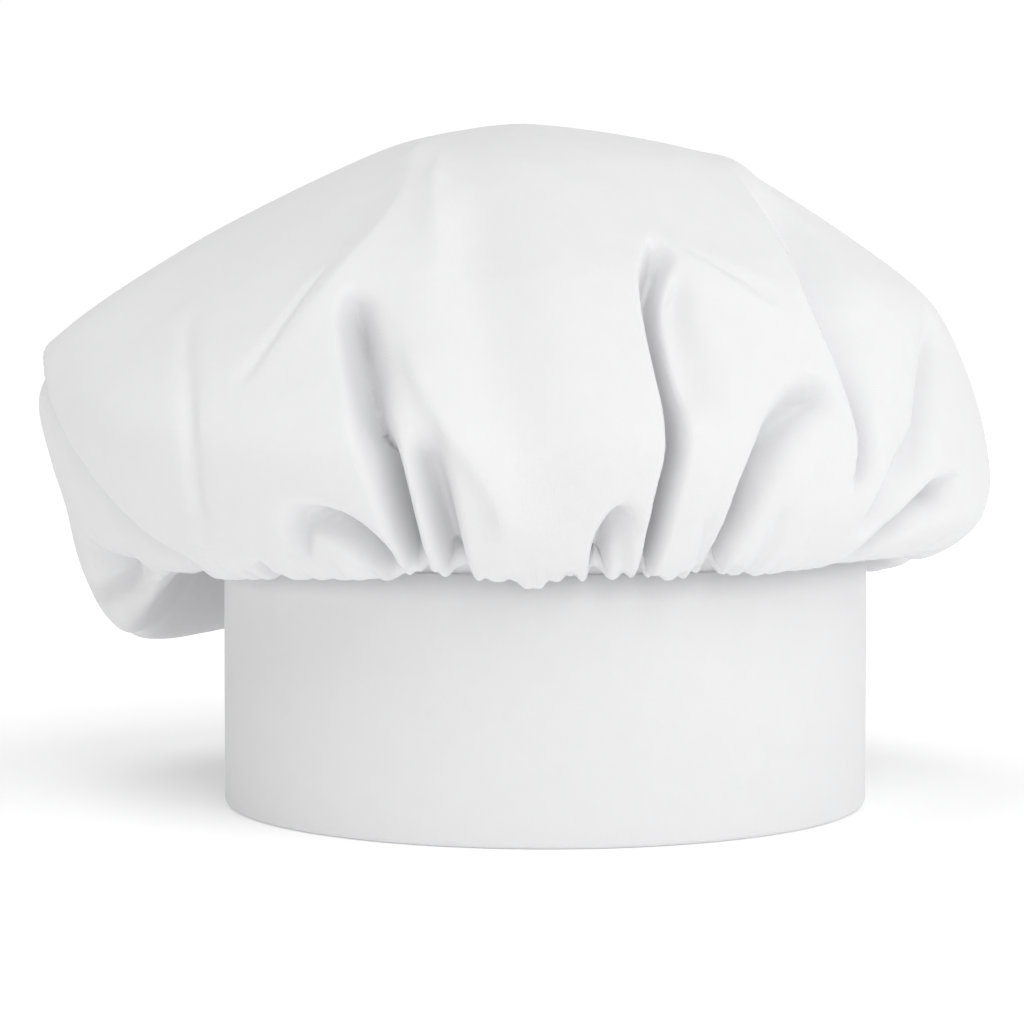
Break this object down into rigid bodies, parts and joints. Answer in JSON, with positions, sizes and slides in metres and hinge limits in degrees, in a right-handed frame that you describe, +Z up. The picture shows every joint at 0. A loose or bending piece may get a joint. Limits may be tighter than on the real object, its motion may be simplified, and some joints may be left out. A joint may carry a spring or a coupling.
{
  "type": "kitchen cap",
  "caption": "Soft gathered kitchen cap: a stiff upright head band with a puffed cloth crown that flops to one side.",
  "frame": {"origin": "on the surface that the cap stands on, in the middle of the whole cap's plan; the band's axis is 11 mm to +X and 3 mm to -Y of it", "axes": "+Z up along the band's axis, -Y the front, +X the wearer's left as it is seen from the front on the right"},
  "size_m": [0.29, 0.2597, 0.205],
  "materials": {
    "band_cloth": "plain woven, stiffened and pressed",
    "crown_cloth": "plain woven, soft and matt"
  },
  "bodies": {
    "root": {"head_band": "band_cloth", "crown": "crown_cloth"}
  },
  "joints": []
}
